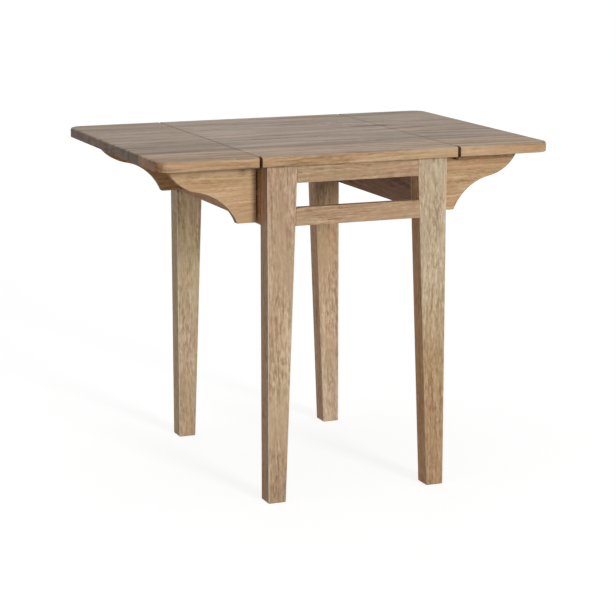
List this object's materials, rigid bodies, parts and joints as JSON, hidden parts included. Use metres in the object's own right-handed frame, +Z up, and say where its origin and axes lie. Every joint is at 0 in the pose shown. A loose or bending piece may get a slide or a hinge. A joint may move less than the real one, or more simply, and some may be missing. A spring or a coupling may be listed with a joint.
{
  "type": "drop-leaf dining table",
  "caption": "Small wooden drop-leaf dining table: hinged end leaves on swinging ogee brackets, tapered legs, slotted end frames and a rounded plank top.",
  "frame": {"origin": "on the floor, under the middle of the table top", "axes": "+X along the table's length, through both leaves; +Y from the near end frame to the far one; +Z up"},
  "size_m": [0.91, 0.68, 0.76],
  "materials": {
    "top_wood": "satin waxed oak planks",
    "leg_wood": "satin waxed oak",
    "rail_wood": "satin waxed oak",
    "apron_wood": "satin waxed oak",
    "bracket_wood": "satin waxed oak",
    "brass": "aged brass",
    "steel": "zinc plated"
  },
  "bodies": {
    "frame": {"centre_plank_1": "top_wood", "centre_plank_2": "top_wood", "centre_plank_3": "top_wood", "centre_plank_4": "top_wood", "centre_plank_5": "top_wood", "near_left_leg": "leg_wood", "far_left_leg": "leg_wood", "near_right_leg": "leg_wood", "far_right_leg": "leg_wood", "near_upper_rail": "rail_wood", "near_lower_rail": "rail_wood", "far_upper_rail": "rail_wood", "far_lower_rail": "rail_wood", "left_apron": "apron_wood", "left_top_batten": "apron_wood", "right_apron": "apron_wood", "right_top_batten": "apron_wood", "top_screws": "steel", "batten_screws": "steel", "left_leaf_hinge_fixed_plates": "brass", "left_leaf_hinge_fixed_screws": "brass", "left_leaf_hinge_pins": "brass", "right_leaf_hinge_fixed_plates": "brass", "right_leaf_hinge_fixed_screws": "brass", "right_leaf_hinge_pins": "brass", "bracket_hinge_fixed_plates": "brass", "bracket_hinge_fixed_screws": "brass", "bracket_hinge_pins": "brass"},
    "left_leaf": {"left_leaf_plank_1": "top_wood", "left_leaf_plank_2": "top_wood", "left_leaf_plank_3": "top_wood", "left_leaf_plank_4": "top_wood", "left_leaf_plank_5": "top_wood", "left_leaf_hinge_moving_plates": "brass", "left_leaf_hinge_moving_screws": "brass"},
    "right_leaf": {"right_leaf_plank_1": "top_wood", "right_leaf_plank_2": "top_wood", "right_leaf_plank_3": "top_wood", "right_leaf_plank_4": "top_wood", "right_leaf_plank_5": "top_wood", "right_leaf_hinge_moving_plates": "brass", "right_leaf_hinge_moving_screws": "brass"},
    "near_left_bracket": {"near_left_bracket": "bracket_wood", "near_left_bracket_hinge_moving_plates": "brass", "near_left_bracket_hinge_moving_screws": "brass"},
    "far_left_bracket": {"far_left_bracket": "bracket_wood", "far_left_bracket_hinge_moving_plates": "brass", "far_left_bracket_hinge_moving_screws": "brass"},
    "near_right_bracket": {"near_right_bracket": "bracket_wood", "near_right_bracket_hinge_moving_plates": "brass", "near_right_bracket_hinge_moving_screws": "brass"},
    "far_right_bracket": {"far_right_bracket": "bracket_wood", "far_right_bracket_hinge_moving_plates": "brass", "far_right_bracket_hinge_moving_screws": "brass"}
  },
  "joints": [
    {"name": "left_leaf_hinge", "type": "hinge", "parent": "frame", "child": "left_leaf", "pos_m": [-0.23, 0, 0.734], "axis": [0, 1, 0], "range_deg": [0, 4]},
    {"name": "right_leaf_hinge", "type": "hinge", "parent": "frame", "child": "right_leaf", "pos_m": [0.23, 0, 0.734], "axis": [0, -1, 0], "range_deg": [0, 4]},
    {"name": "near_left_bracket_swing", "type": "hinge", "parent": "frame", "child": "near_left_bracket", "pos_m": [-0.2106, -0.2421, 0.67], "axis": [0, 0, -1], "range_deg": [0, 90]},
    {"name": "far_left_bracket_swing", "type": "hinge", "parent": "frame", "child": "far_left_bracket", "pos_m": [-0.2106, 0.2421, 0.67], "axis": [0, 0, 1], "range_deg": [0, 90]},
    {"name": "near_right_bracket_swing", "type": "hinge", "parent": "frame", "child": "near_right_bracket", "pos_m": [0.2106, -0.2421, 0.67], "axis": [0, 0, 1], "range_deg": [0, 90]},
    {"name": "far_right_bracket_swing", "type": "hinge", "parent": "frame", "child": "far_right_bracket", "pos_m": [0.2106, 0.2421, 0.67], "axis": [0, 0, -1], "range_deg": [0, 90]}
  ]
}
